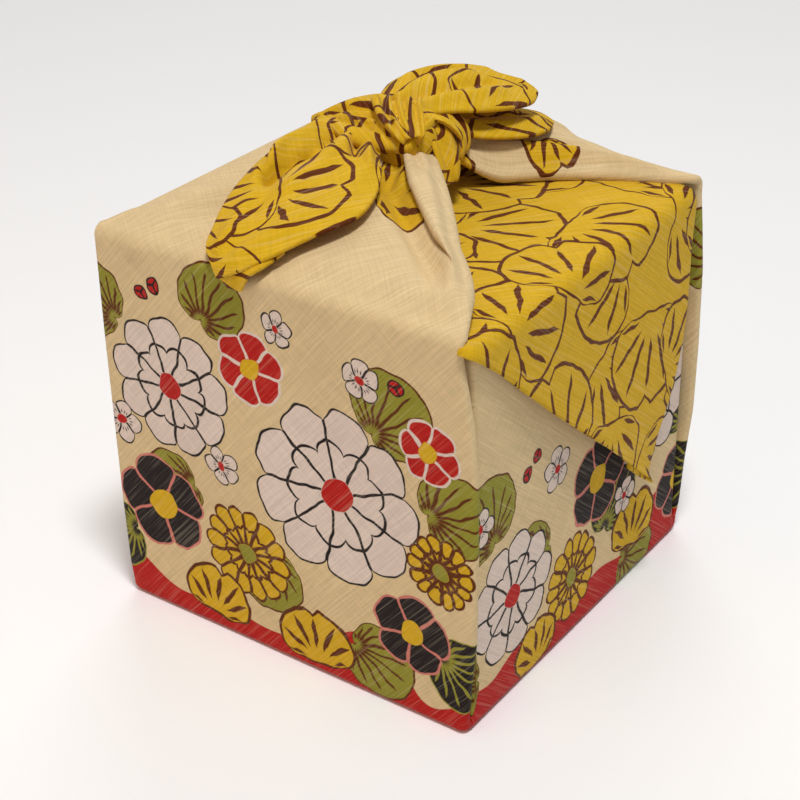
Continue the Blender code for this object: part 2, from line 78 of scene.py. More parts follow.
TENT_ROUND = 4.5
TENT_SLOPE = radians(78)
TENT_RUN = 76.0  # cloth of a panel from the top edge up to the knot
TENT_FOOT = 3.5  # cloth between the top of a side and the start of that
TENT_LENGTH = 80.0  # length of a panel on top, by which its creases are measured
ROLL = 2.6  # radius of the panels' rolled edges on top
EDGE_LIFT = 3.6
RIDGE = 2.8
RIDGE_PLACE = 6.5
RIDGE_WIDTH = 5.5
VALLEY = 3.0
VALLEY_PLACE = 18.0
VALLEY_WIDTH = 4.6
TONGUE_TROUGH = 5.0  # depth of the trough beside the front's tongue
TONGUE_VALLEY = 6.5  # from the tongue's edge to the bottom of that trough
TONGUE_SPREAD = 5.5  # half width of the trough
TONGUE_FROM = 0.22  # share of the way up to the knot where the tongue begins to lap over it
TONGUE_COLUMNS = 11
TONGUE_HIDES = 34.0  # cloth that disappears in that fold
MARGIN_SHARE = 0.9  # width of the cloth turned under a panel, as a share of the panel
MARGIN_RETURN = (0.97, 0.6, 0.3)  # places of that margin's columns that are folded back once more

OVER_TOP = EDGE - 3.0  # upper face of corner B
UNDER_TOP = EDGE - 5.1  # upper face of corner A
UNDER_ROUND = UNDER_TOP - WALL_TOP
FLAP_ROUND = OVER_TOP - WALL_TOP
BACK_BEND_ROUND = 2.4
LID_HALF = 69.0
UNDER_FOOT = 69.3  # half width of corner A where it leaves the side, and of corner B
OVER_FOOT = 69.5
LEFT_RISE = 2.0  # how much corner B stands up along the left top edge
TAIL_FOLD = -70.0  # x where corner A is folded back under itself
TAIL_TURN = 1.3
LID_TURN = 0.7  # radius of the edges of A and B, turned under on top
LID_MARGIN = 62.0  # width turned under there

FLAP_TIP_Y = 37.0
FLAP_TIP_Z = EDGE - 106.0
FLAP_LIFT = 5.0
FLAP_SHIFT = 0.207  # how far the flap's cloth is moved along Y, as a share of the edge
FLAP_SKEW = 0.044  # how much further it is moved at the tip
FLAP_WAVE = 0.8
FLAP_BEND_FROM = -75.0  # y beyond which the flap bends back round the box's edge, and how steeply
FLAP_BEND = 1.3
FLAP_TURN = 0.8  # radius of the flap's folded right-hand edge
FLAP_RETURN = 26.0  # width of cloth turned back behind that edge
FLAP_PEEP = 2.4  # how far that cloth shows beyond the raw edge at the tip

SLUMP = 1.5  # how much lower the far left back corner stands

# Fineness of the meshes
SKIN_STEPS = 62
WALL_STEPS = 48
WALL_ROWS = 46
TURN_STEPS = 6
TENT_ROWS = 36
LID_ROWS = 48
FLAP_ROWS = 42
LAYER_SHARES = (0.03, 0.1, 0.25, 0.5, 0.75, 1.0)
TURN_UNDER = (radians(60), radians(120), radians(180))
WELD = 0.02  # points this close become one

# A value at a height, or at a share of a length
Pair = namedtuple("Pair", "at value")
FRONT_RIGHT_FOLD = table(Pair, f"""
    0 0, 22 1.1, 40 3, 75 3.5, 104 3.2, 122 1.6, 131 0, 140 -1.8, {WALL_TOP} -2.4""")
BACK_RIGHT_FOLD = table(Pair, f"0 0, 33 1.7, 56 3.8, 84 4, 115 3.4, 131 2.1, {WALL_TOP} 0.8")
LEFT_FOLD = table(Pair, f"0 0, 40 0.8, 110 0.8, {WALL_TOP} 0.4")

# y of the flap's edges at some heights
FLAP_RIGHT = table(Pair, f"""
    {FLAP_TIP_Z} {FLAP_TIP_Y + 2.5}, {EDGE - 91} 45, {EDGE - 81} 50, {EDGE - 63} 57, {EDGE - 49} 62,
    {EDGE - 35} 65, {WALL_TOP} 68.5""")
FLAP_LEFT = table(Pair, f"""
    {FLAP_TIP_Z} {FLAP_TIP_Y}, 49.9 32.1, 65.2 15.2, 76.5 3, 89.4 -12.2, 108.6 -33.9, 123.3 -49.6,
    135 -61.5, {WALL_TOP} -73""")
# Left end of the flap's rows on top and round the top edge, where it laps over the corner
FLAP_CORNER = (-74.5, -76.5, -77.5, -76.0, -73.0)

# A soft ridge (height above zero) or trough, from one place to another. Places are shares of the
# piece's length (along) and of its width (across); width and height are in millimetres.
Crease = namedtuple("Crease", "along_a across_a along_b across_b width height")
# Width of the tongue along the front's right side, from the top edge (0) up to the knot (1)
TONGUE = table(Pair, """
    0 4.5, 0.24 4.8, 0.3 5.5, 0.37 6, 0.46 8.2, 0.58 10.5, 0.71 12.2, 1 10.5""")
# Turned edge of the tongue, from the cloth that runs in below it to its upper face: millimetres
# under the edge, height as a share of the lip's rise, and share of the hidden cloth passed so far
Turn = namedtuple("Turn", "under rise hidden")
TONGUE_EDGE = table(Turn, """
    0 0 0, 1.6 0 0.25, 3.1 0.03 0.5, 3.4 0.17 0.55, 3.1 0.31 0.6, 1.6 0.32 0.8, 0.1 0.32 1,
    -0.6 0.5 1, -0.7 0.72 1, -0.4 0.92 1""")
FRONT_CREASES = table(Crease, """
    0 0.3 0.75 0.42 5 0.9, 0.05 0.45 0.9 0.52 4 -0.8, 0.02 0.12 0.35 0.06 6 1.3,
    0.1 0.22 0.5 0.2 5 -1.2, 0 0.62 0.45 0.66 7 0.8, 0.84 0.85 1 0.64 1.5 -2.2""")
BACK_CREASES = table(Crease, """
    0 0.35 0.8 0.45 6 1.2, 0.05 0.55 0.85 0.55 5 -1.4, 0.05 0.75 0.6 0.68 6 1,
    0.1 0.66 0.22 0.64 6 5""")
# left and right are seen from the front; bellies are how far the sides on top bend outward, lifts
# how much they stand up, as shares of EDGE_LIFT, and sag how far the right one sinks to the lid
Panel = namedtuple("Panel", "side gather across left_belly right_belly puff left_relief right_relief "
                            "left_lift right_lift sag swell creases")
FRONT = Panel(-1, (-2, 2, EDGE + 16), (9, 5, 0), left_belly=0.6, right_belly=1.5, puff=0.0,
              left_relief=0.7, right_relief=1.35, left_lift=0.45, right_lift=1.0, sag=0.0, swell=2.4,
              creases=FRONT_CREASES)
BACK = Panel(1, (-6, 16, EDGE + 16), (9, -3, 0), left_belly=2.0, right_belly=-9.0, puff=5.0,
             left_relief=0.9, right_relief=0.8, left_lift=0.2, right_lift=0.0, sag=12.0, swell=0.0,
             creases=BACK_CREASES)
SAG_SPREAD = 15.0  # from a sunk side to where the panel has risen again
GATHER = 1.0  # height of the small pleats where a panel runs into the knot
GATHER_FOLDS = 7

# A strip of gathered cloth in the knot: stations from one edge (a) to the other (b), measured from
# the middle of the box top, with the crown of the arch and the thickness of the gathered layers
Station = namedtuple("Station", "ax ay az bx by bz crown thick")
LEFT_EAR = table(Station, """
    -34 7 16.5 -10 4 17 2 5, -38 -4 19.5 -3 -10 18.5 2.5 3.8, -35 -20 20.5 5 -20 18 2.5 3,
    -35.5 -33 18.5 12 -33.5 16 2 3, -35 -47.5 14 14 -47 14 2 3, -32.5 -59 10 7 -61 11 2 3,
    -29.3 -67 7.5 -1 -73.5 6.5 1.5 2.8, -27 -73 5.4 -7.9 -79.5 2.4 0.8 2.4,
    -24.7 -76.5 4 -16.6 -81.5 -2 0.3 2""")
# The ear is folded double; its lower layer peeps out below the tip
EAR_FOLD = table(Station, """
    -22 -66 5.5 0 -66 6 0.5 1.6, -20 -75 3 -1.5 -75.5 4 0.5 1.6, -18.5 -78.5 -2 -5 -79 0.5 0.3 1.5,
    -15 -78.5 -6.3 -9 -79 -6 0 1.3""")
RIGHT_EAR = table(Station, """
    -20 12 28 0 10 28 3 6, -25 26 29 7 20 27.5 4 5, -25 40 29 14 30 26 5 4,
    -21 53 28 18.5 41 24.5 4.5 3.4, -11 62 26.5 20 51 23.5 3 3, 4 65 25 17.5 59 24 1.5 2.6""")
UNDER_EAR = table(Station, """
    -14 22 23 6 18 22 2 5, -12 36 20 12 28 16.5 2 3.2, -6 50 17.5 22 42 14 2 3,
    2 60 15.5 25 54 13 1.5 2.8, 10 66 13.5 22 63 12.5 0.8 2.6""")
LEFT_LOBE = table(Station, """
    6 14 26 5 -4 20 -1 9, -8 17 29 -4 -8 19.5 -2.5 11, -20 17 28.5 -14 -8.5 19.5 -2.5 10,
    -31 14 25.5 -25 -5.5 20 -1.5 8, -39 9 21.5 -35 -1 19.5 -0.5 5.5, -43 6 19.5 -41.5 2 19 0 2.5""")
BAND = table(Station, """
    -16 15 14 -5 20 14 0 6, -23 15 24 -7 23 25 -1 8, -18 6 31 -2 14 31 -2 8, -8.5 -3 29 5 5 28.5 -2 8,
    1.8 -7 25 9.7 -1.5 26 -0.5 6, 3.3 -4 21.1 6.5 -0.5 20.7 0 4.5, 0.7 2 16.6 3.5 4 16.6 0 4""")
LOOP = table(Station, """
    -8 6 25 -14 17 26 0 4, 2 8 27 -5 21 28 -1 4, 9 11 26.5 2 25 26.5 -1.5 3.6,
    14 14 21 8 27 20 -1.5 3.4, 15 13 15 10 25 13 -1 3.4, 12 12 11 7 21 9.5 0 3.4""")
TAIL = table(Station, """
    -3 4 24 0 15 24 -0.5 6, 5 6 22 8 16 22 -1 5, 10 5 15 12.5 15 15 -1 4,
    12.5 4 9.5 15 12 10 -0.5 3.2, 14 4.5 6.5 15.5 10 6.5 0 2.2""")

LEFT_EAR_CREASES = table(Crease, """
    0.03 0.16 0.42 0.09 4 3.4, 0.08 0.44 0.3 0.3 2.4 -3.4, 0.3 0.3 0.44 0.2 1.8 -4,
    0.44 0.2 0.6 0.32 3.6 -1.6, 0.36 0 0.45 0.18 1.6 -3, 0.24 0.04 0.41 0.14 2.4 2.9,
    0.12 0.58 0.46 0.42 3.6 1.9, 0 0.62 0.21 0.7 2 -4.2, 0.02 0.84 0.24 0.88 2.6 3,
    0.3 0.78 0.62 0.82 5 0.9, 0.52 0.2 0.88 0.32 3 1.1, 0.6 0.52 0.92 0.5 3.2 -1,
    0.58 0.74 0.94 0.7 3 0.9""")
RIGHT_EAR_CREASES = table(Crease, """
    0 0.45 0.55 0.42 4 1.9, 0.02 0.28 0.62 0.22 2.4 -2, 0.05 0.66 0.66 0.62 2.2 -2.4,
    0.02 0.84 0.6 0.82 2.6 1.8, 0.5 0.3 0.95 0.55 3 -1.2, 0.3 0.12 0.8 0.14 2.4 1.3""")
UNDER_EAR_CREASES = table(Crease, """
    0 0.4 0.7 0.5 2.2 -1.5, 0.05 0.7 0.8 0.74 2.4 1.2""")
LEFT_LOBE_CREASES = table(Crease, """
    0.08 0.34 0.84 0.36 1.6 -2.4, 0.08 0.54 0.74 0.52 1.3 -2, 0.08 0.74 0.66 0.66 1.4 -2.2,
    0.12 0.64 0.6 0.6 1.6 1.4""")
BAND_CREASES = table(Crease, """
    0.1 0.22 0.84 0.24 1.3 -2.7, 0.1 0.44 0.84 0.46 1.2 -2.7, 0.1 0.64 0.84 0.66 1.2 -2.7,
    0.1 0.84 0.84 0.84 1.3 -2.4""")
LOOP_CREASES = table(Crease, """
    0.05 0.35 0.8 0.4 1.4 -1.8, 0.1 0.68 0.85 0.7 1.3 -1.5""")
TAIL_CREASES = table(Crease, """
    0.2 0.3 0.95 0.42 1.6 -1.3, 0.25 0.72 0.9 0.66 1.6 0.9""")

# bundle is whether a strip is round, out which way its outside is, along and across its steps, and
# start its place on the flat square, from where it runs to +Y (way 1) or -Y (way -1)
Strip = namedtuple("Strip", "stations creases bundle out along across start way")
STRIPS = (
    Strip(LEFT_EAR, LEFT_EAR_CREASES, False, -1, 90, 56, (0, -385), -1),
    Strip(EAR_FOLD, (), False, -1, 18, 16, (20, -440), -1),
    Strip(RIGHT_EAR, RIGHT_EAR_CREASES, False, 1, 60, 48, (0, 420), 1),
    Strip(UNDER_EAR, UNDER_EAR_CREASES, False, 1, 40, 30, (30, 425), 1),
    Strip(LEFT_LOBE, LEFT_LOBE_CREASES, True, -1, 56, 80, (-20, -365), -1),
    Strip(BAND, BAND_CREASES, True, -1, 56, 90, (20, 370), 1),
    Strip(LOOP, LOOP_CREASES, True, -1, 44, 48, (-10, 380), 1),
    Strip(TAIL, TAIL_CREASES, True, -1, 32, 40, (10, -365), 1),
)
CORE_CENTRE = (-5.0, 8.0, EDGE + 18.5)
CORE_RADII = (13.0, 14.5, 11.5)
EAR_RIM = 1.3  # thickness of an ear at its edges


# ---------- shape helpers
def between(rows, height):
    """Second column of rows, read at a height in the first."""
    heights, values = zip(*rows)
    return float(np.interp(height, heights, values))


def smooth(amount):
    amount = min(max(amount, 0.0), 1.0)
    return amount * amount * (3 - 2 * amount)


def bell(distance, width):
    return exp(-(distance / width) ** 2)


def spread(low, high, steps):
    return [float(value) for value in np.linspace(low, high, steps + 1)]


def slumped(point):
    """Lower the far left back corner of the top."""
    x, y, z = point
    share = (HALF - x) / EDGE * (HALF + y) / EDGE
    return x, y, z - SLUMP * share * max(z, 0.0) / EDGE


def sag(along, height, phase):
    """Soft unevenness of a side, zero at its edges."""
    edge_fade = (1 - (along / HALF) ** 2) * sin(pi * min(max(height / EDGE, 0.0), 1.0))
    return SIDE_SAG * edge_fade * sin(along / 17 + height / 29 + phase)


class Patches:
    """Grids of points that make up the cloth, each with its place on the flat square."""

    def __init__(self):
        self.points, self.faces = [], []

    def put(self, row):
        """Put down a row of (point, place), and tell where it starts."""
        start = len(self.points)
        self.points += [(slumped(point), place) for point, place in row]
        return start

    def add(self, rows):
        """A grid of rows, all equally long."""
        width = len(rows[0])
        for start in [self.put(row) for row in rows][:-1]:
            self.faces += [(first, first + 1, first + width + 1, first + width)
                           for first in range(start, start + width - 1)]

    def cap(self, row):
        """One flat face over a closed row."""
        start = self.put(row)
        self.faces.append(tuple(range(start, start + len(row))))


def fold_path(z, reach, bulge):
    """Section of an upright edge at one height, from the panel's skin to the start of the side:
    (u, v, across, along), u measured outward along the panel and v inward from it, and across and
    along its place on the cloth."""
    settle = smooth(z / FOLD_STARTS)
    width = PLEAT_SHARE * z
    cloth = HALF + z
    skin_end = reach + bulge - FOLD_ROUND
    depth = 2 * FOLD_ROUND
    behind = depth + LAYER_GAP + PLEAT_GAP
    path = []

    def lay(plain, u, v, across, along):
        point = Vector(plain).lerp(Vector((u, v)), settle)
        path.append((point.x, point.y, across, along))

    for step in range(TURN_STEPS + 1):
        share = step / TURN_STEPS
        plain = (reach - CORNER_ROUND + CORNER_ROUND * sin(pi / 2 * share),
                 CORNER_ROUND * (1 - cos(pi / 2 * share)))
        lay(plain, skin_end + FOLD_ROUND * sin(pi * share), FOLD_ROUND * (1 - cos(pi * share)),
            skin_end + FOLD_ROUND * pi * share * settle, cloth)
    corner = (reach, CORNER_ROUND)
    run = skin_end + FOLD_ROUND * pi
    for share in LAYER_SHARES:
        lay(corner, skin_end - share * (width + bulge), depth + LAYER_GAP * share, run + share * width,
            cloth)
    for share in (0.33, 0.66):
        lay(corner, skin_end - width - bulge - 0.5 * sin(pi * share),
            depth + LAYER_GAP + PLEAT_GAP * share, cloth, HALF + width)
    for share in reversed((0.0,) + LAYER_SHARES):
        lay(corner, reach - PLEAT_END - share * (width - PLEAT_END), behind, cloth, HALF + share * width)
    for angle in (radians(30), radians(60)):
        lay(corner, reach - PLEAT_END * (1 - sin(angle)), behind + (WALL_START - behind) * (1 - cos(angle)),
            cloth, HALF)
    return path


def fold_bulges(z):
    return [between(fold, z) for fold in (FRONT_RIGHT_FOLD, BACK_RIGHT_FOLD, LEFT_FOLD)]


def panel_section(side, z, reach, left_bulge, right_bulge):
    """Front or back panel at one height, with the folds and pleats at both ends, left to right."""
    cloth = HALF + z

    def end(sign, bulge):
        return [((sign * u, side * (reach - v), z), (sign * across, side * along))
                for u, v, across, along in fold_path(z, reach, bulge)]

    section, right = end(-1, left_bulge)[::-1], end(1, right_bulge)
    for x in spread(section[-1][0][0], right[0][0][0], SKIN_STEPS)[1:-1]:
        y = side * (reach + PANEL_SLACK * sag(x, z, 1.0 + side))
        section.append(((x, y, z), (x, side * cloth)))
    section += right
    return section if side < 0 else section[::-1]


def wall_section(side, z, reach):
    start = reach - WALL_START
    section = [((side * (reach + sag(y, z, 2.0 * side)), y, z), (side * (HALF + z), y))
               for y in spread(-start, start, WALL_STEPS)]
    return section if side > 0 else section[::-1]


def box_rings():
    """Closed rings of the underside's edge and the four sides, from the floor up."""
    rows = [(BOTTOM_ROUND * (1 - cos(angle)), BOTTOM_ROUND * (1 - sin(angle)))
            for angle in spread(0, pi / 2, 4)[:-1]]
    rows += [(z, 0.0) for z in spread(BOTTOM_ROUND, WALL_TOP, WALL_ROWS)]
    rings = []
    for z, inset in rows:
        reach = HALF - inset
        front_right, back_right, left = fold_bulges(z)
        ring = (panel_section(-1, z, reach, left, front_right) + wall_section(1, z, reach)
                + panel_section(1, z, reach, left, back_right) + wall_section(-1, z, reach))
        rings.append(ring + ring[:1])
    return rings


def edge_relief(distance, along, strength):
    """Ridge beside a rolled edge and the trough next to it."""
    trough = VALLEY * bell(distance - VALLEY_PLACE, VALLEY_WIDTH) * smooth((1.05 - along) / 0.3)
    return smooth(along / 0.25) * strength * (RIDGE * bell(distance - RIDGE_PLACE, RIDGE_WIDTH) - trough)


def tongue_sink(along):
    """How much of its depth the trough beside the tongue has, from 0 to 1."""
    return smooth((along - 0.08) / 0.2)


def tongue_lap(along):
    """How far the tongue laps over the cloth beside it, from 0 to 1."""
    return smooth((along - TONGUE_FROM) * 5)


def tongue_relief(distance, along):
    """Height of the front's tongue and the trough beside it, at a distance from its rolled side."""
    width = between(TONGUE, along)
    crown = FRONT.right_relief * RIDGE * smooth(along / 0.2)
    if distance < width:
        return crown * smooth(distance / 6)
    past = distance - width
    free = 1 - tongue_lap(along)
    depth = TONGUE_TROUGH * tongue_sink(along) * smooth((1.05 - along) / 0.3)
    trough = bell(past - TONGUE_VALLEY, TONGUE_SPREAD)
    trough -= free * bell(TONGUE_VALLEY, TONGUE_SPREAD) * bell(past, 2)
    return crown * smooth(width / 6) * free * bell(past, 4) - depth * trough


def tongue_columns(width, along):
    """Columns of the front's skin on top, from its left edge to its right: distance from the right
    edge, distance at which its height is read, height above that, and the hidden cloth passed so
    far."""
    edge = between(TONGUE, along)
    lap = tongue_lap(along)
    lip = tongue_relief(edge - 0.01, along) - tongue_relief(edge, along)
    left = SKIN_STEPS - len(TONGUE_EDGE) - TONGUE_COLUMNS
    columns = [(edge + (width - edge) * (1 - step / left), 0.0, 0.0) for step in range(1, left)]
    columns += [(edge - turn.under * lap, turn.rise * lip, turn.hidden * TONGUE_HIDES * lap)
                for turn in TONGUE_EDGE]
    columns += [(edge * (1 - step / (TONGUE_COLUMNS + 1)), 0.0, TONGUE_HIDES * lap)
                for step in range(1, TONGUE_COLUMNS + 1)]
    laid = smooth(along / 0.12)
    placed = []
    for index, (distance, rise, hidden) in enumerate(columns, 1):
        even = width * (1 - index / SKIN_STEPS)
        distance = even + (distance - even) * laid
        turned = left <= index < left + len(TONGUE_EDGE)
        placed.append((distance, max(distance, edge) if turned else distance, rise, hidden))
    return placed


def tent_row(panel, along, bend, slope_run):
    """One row of a front or back panel on top, from the end of its left margin to that of its
    right one. bend goes 0 to 1 round the top edge, and then along goes 0 to 1 up to the knot."""
    side = panel.side
    front = side < 0
    front_right, back_right, left = fold_bulges(WALL_TOP)
    right = front_right if front else back_right
    turn = TENT_SLOPE * bend
    start_y = side * (HALF - TENT_ROUND + TENT_ROUND * cos(turn))
    start_z = EDGE - TENT_ROUND + TENT_ROUND * sin(turn)
    gather, across = Vector(panel.gather), Vector(panel.across)
    low = Vector((-(HALF + left - FOLD_ROUND), start_y, start_z)).lerp(gather - across, along)
    high = Vector((HALF + right - FOLD_ROUND, start_y, start_z)).lerp(gather + across, along)
    width = (high - low).length

    swing = smooth(along * 6)
    near_knot = smooth((along - 0.7) / 0.3)
    depth = Vector((0, -side * cos(turn), -sin(turn))).lerp(Vector((0, 0, -1)), swing).normalized()
    out_left, out_right = (Vector((sign, 0, 0)).lerp(Vector((sign, -side, 0)).normalized(), swing)
                           for sign in (-1, 1))
    roll = (FOLD_ROUND + (ROLL - FOLD_ROUND) * swing) * (1 - 0.4 * near_knot)
    lift = Vector((0, 0, EDGE_LIFT * smooth(along * 8) * (1 - along ** 2)))
    sunk = panel.sag * along * (1 - near_knot)
    low = low + out_left * panel.left_belly * sin(pi * along) + lift * panel.left_lift
    swell = panel.right_belly * sin(pi * along) + panel.swell * sin(pi * min(along * 2.5, 1.0))
    high = high + out_right * swell + lift * panel.right_lift - Vector((0, 0, sunk))
    q = side * (HALF + WALL_TOP + slope_run)
    middle = (low.x + high.x) / 2
    passed = TONGUE_HIDES * tongue_lap(along) if front else 0.0
    deeper = 1.5 * TONGUE_TROUGH * tongue_sink(along) if front else 0.0

    def pleats(share):
        """Small pleats that run together into the knot."""
        grow = smooth((along - 0.5) / 0.5)
        return GATHER * grow * cos(pi * GATHER_FOLDS * share + 2.0 * side * (1 - along))

    def skin(share, level=None, rise=0.0):
        distance = (1 - abs(share)) * width / 2 if level is None else level
        puff = panel.puff * sin(pi * along ** 0.5) * (1 - share ** 2)
        gather = pleats(share)
        if front and share > 0:
            edge = between(TONGUE, along)
            relief = tongue_relief(distance, along)
            if distance < edge:
                gather = pleats(1 - 2 * edge / width) * min(distance / 4, 1)
        else:
            relief = edge_relief(distance, along, panel.right_relief if share > 0 else panel.left_relief)
        crease = crease_height(panel.creases, along, (share + 1) / 2, TENT_LENGTH,
                               max(width, 20.0))
        puff += sunk * (share + 1) / 2 * (smooth(distance / SAG_SPREAD) if share > 0 else 1)
        point = (low + high) / 2 + (high - low) / 2 * share
        return point - depth * (relief + puff + crease + gather + rise)

    def side_part(corner, sign, out):
        beyond = middle + (passed if sign > 0 else 0.0)
        part = []

        def lay(point, run):
            part.append((tuple(point), (sign * run + beyond, q)))

        for angle in spread(0, pi, TURN_STEPS):
            lay(corner + out * roll * sin(angle) + depth * roll * (1 - cos(angle)),
                width / 2 + roll * angle)
        margin = MARGIN_SHARE * width
        start = width / 2 + roll * pi
        for share in LAYER_SHARES:
            below = skin(sign * (1 - 2 * margin * share / width)) + depth * (2 * roll + 0.8 * share)
            lay(below + depth * deeper * min(share * 10, 1), start + margin * share)
        for share in MARGIN_RETURN:
            below = skin(sign * (1 - 2 * margin * share / width))
            lay(below + depth * (2 * roll + 2.2 + deeper), start + margin * (2 - share))
        return part

    row = side_part(low, -1, out_left)[::-1]
    columns = [(width * (1 - step / SKIN_STEPS), None, 0.0, 0.0) for step in range(1, SKIN_STEPS)]
    for distance, level, rise, hidden in tongue_columns(width, along) if front else columns:
        share = 1 - 2 * distance / width
        point = skin(share, level if share > 0 else None, rise)
        row.append((tuple(point), (share * width / 2 + middle + hidden, q)))
    row += side_part(high, 1, out_right)
    return row if front else row[::-1]


def tent_rows(panel, base):
    """Front or back panel from the top of its side up to the knot."""
    keep = TURN_STEPS + 1 + len(LAYER_SHARES) + len(MARGIN_RETURN)
    spare = len(fold_path(10.0, HALF, 0.0)) - keep
    rows = [base[spare:len(base) - spare]]
    steps = [(0.0, step / 5) for step in range(6)]
    steps += [(step / TENT_ROWS, 1.0) for step in range(1, TENT_ROWS + 1)]
    for along, bend in steps:
        run = TENT_ROUND * TENT_SLOPE * bend + TENT_FOOT + TENT_RUN * along
        rows.append(tent_row(panel, along, bend, run))
    return rows


def lid_row(x, z, p, low, high, shift=0.0):
    """A row of a lid, straight along Y; shift is how far its cloth is moved along."""
    return [((x, y, z), (p, y - shift)) for y in spread(low, high, WALL_STEPS)]


def under_corner_rows(base):
    """Corner A: from the +X side flat over the top, under everything else, with its tail folded
    back below it."""
    rows = [base]
    for angle in spread(0, pi / 2, 3)[1:]:
        z = WALL_TOP + UNDER_ROUND * sin(angle)
        rows.append(lid_row(HALF - UNDER_ROUND * (1 - cos(angle)), z, HALF + z, -UNDER_FOOT, UNDER_FOOT))
    start = HALF - UNDER_ROUND
    for share in spread(0.1, 1, 9):
        x = start + (TAIL_FOLD - start) * share
        rows.append(lid_row(x, UNDER_TOP, 1.5 * EDGE + HALF - x, -LID_HALF, LID_HALF))
    turned = 1.5 * EDGE + HALF - TAIL_FOLD
    for angle in TURN_UNDER:
        rows.append(lid_row(TAIL_FOLD - TAIL_TURN * sin(angle), UNDER_TOP - TAIL_TURN * (1 - cos(angle)),
                            turned + TAIL_TURN * angle, -LID_HALF, LID_HALF))
    for run in spread(0, CLOTH_CORNER - turned - 8, 8)[1:]:
        half = min(LID_HALF, CLOTH_CORNER - turned - run)
        rows.append(lid_row(TAIL_FOLD + run, UNDER_TOP - 2 * TAIL_TURN, turned + run, -half, half))
    return rows


def add_margins(patches, rows):
    """Cloth turned under beyond both ends of each row of a lid."""
    turns = [(LID_TURN * sin(angle), LID_TURN * (1 - cos(angle)), LID_TURN * angle) for angle in TURN_UNDER]
    turns += [(-LID_MARGIN * share, 2 * LID_TURN, LID_TURN * pi + LID_MARGIN * share)
              for share in LAYER_SHARES]
    for at_end in (False, True):
        strip = []
        for row in rows:
            edge = row[-1] if at_end else row[0]
            (x, y, z), (p, q) = edge
            sign = 1 if y > 0 else -1
            part = [edge] + [((x, y + sign * out, z - down), (p, q + sign * run))
                             for out, down, run in turns]
            strip.append(part if at_end else part[::-1])
        patches.add(strip)


def flap_row(z):
    """A row of the flap where it hangs on the +X side, from its folded right-hand edge to its raw
    left-hand one."""
    low = between(FLAP_LEFT, z)
    high = between(FLAP_RIGHT, z)
    drop = (WALL_TOP - z) / (WALL_TOP - FLAP_TIP_Z)

    def face(y):
        share = (y - low) / (high - low)
        lift = FLAP_LIFT * smooth(drop * 1.3) * (1 - 0.6 * share)
        wave = FLAP_WAVE * (1 + sin(y / 15 + z / 21)) * smooth(drop * 3)
        return HALF - UNDER_ROUND + FLAP_ROUND + lift + wave

    p = -(2.5 * EDGE + 5.0 + WALL_TOP - z)
    shift = (FLAP_SHIFT + FLAP_SKEW * drop) * EDGE
    back = min(FLAP_RETURN, high - low + FLAP_PEEP * smooth(drop * 8))
    turned = []
    for share in (1.0, 0.6, 0.25, 0.08):
        y = high - back * share
        turned.append(((face(y) - 2 * FLAP_TURN, y, z), (p, high + back * share - shift)))
    for angle in spread(0, pi, 5)[4:0:-1]:
        point = (face(high) - FLAP_TURN * (1 - cos(angle)), high + FLAP_TURN * sin(angle), z)
        turned.append((point, (p, high + FLAP_TURN * angle - shift)))
    return turned + [((face(y), y, z), (p, y - shift)) for y in spread(low, high, WALL_STEPS)[::-1]]


def over_corner_rows(base):
    """Corner B on top: from the -X side over the top to the +X edge."""
    rows = []
    for step, angle in enumerate(spread(0, pi / 2, 3)):
        z = OVER_TOP + LEFT_RISE - BACK_BEND_ROUND * (1 - sin(angle))
        half = OVER_FOOT + (LID_HALF - OVER_FOOT) * step / 3
        rows.append(lid_row(-HALF + BACK_BEND_ROUND * (1 - cos(angle)), z, -(HALF + z), -half, half))
    straight_end = HALF - UNDER_ROUND
    flap_end = FLAP_RIGHT[-1].value
    for share in spread(0, 1, LID_ROWS)[1:]:
        x = -HALF + BACK_BEND_ROUND + (straight_end + HALF - BACK_BEND_ROUND) * share
        grow = smooth((share - 0.6) / 0.4)
        rows.append(lid_row(x, OVER_TOP + LEFT_RISE * (1 - smooth(share * 3)), -(1.5 * EDGE + x + HALF),
                            -LID_HALF + (FLAP_CORNER[0] + LID_HALF) * grow,
                            LID_HALF + (flap_end - LID_HALF) * grow, FLAP_SHIFT * EDGE * smooth(share)))
    for corner, angle in zip(FLAP_CORNER[1:], spread(0, pi / 2, 4)[1:]):
        row = lid_row(straight_end + FLAP_ROUND * sin(angle), WALL_TOP + FLAP_ROUND * cos(angle),
                      -(2.5 * EDGE + FLAP_ROUND * angle - 2.9), corner, flap_end, FLAP_SHIFT * EDGE)
        rows.append([((x - FLAP_BEND * max(0.0, FLAP_BEND_FROM - y), y, z), place)
                     for (x, y, z), place in row])
    return [base] + [row[::-1] for row in rows]


def curve_through(stations, amount):
    """Smooth point on a table of stations, amount running from 0 to 1."""
    rows = np.array(stations, dtype=float)
    place = amount * (len(rows) - 1)
    index = min(int(place), len(rows) - 2)
    t = place - index
    before, first, second, after = rows[[max(index - 1, 0), index, index + 1,
                                         min(index + 2, len(rows) - 1)]]
    return 0.5 * (2 * first + (second - before) * t
                  + (2 * before - 5 * first + 4 * second - after) * t ** 2
                  + (3 * first - before - 3 * second + after) * t ** 3)


def crease_height(creases, along, across, length, width):
    """Sum of the ridges and troughs at a place on a strip."""
    place = Vector((along * length, across * width))
    height = 0.0
    for crease in creases:
        start = Vector((crease.along_a * length, crease.across_a * width))
        run = Vector((crease.along_b * length, crease.across_b * width)) - start
        share = min(max((place - start).dot(run) / run.length_squared, 0.0), 1.0)
        height += crease.height * bell((place - start - run * share).length, crease.width)
    return height


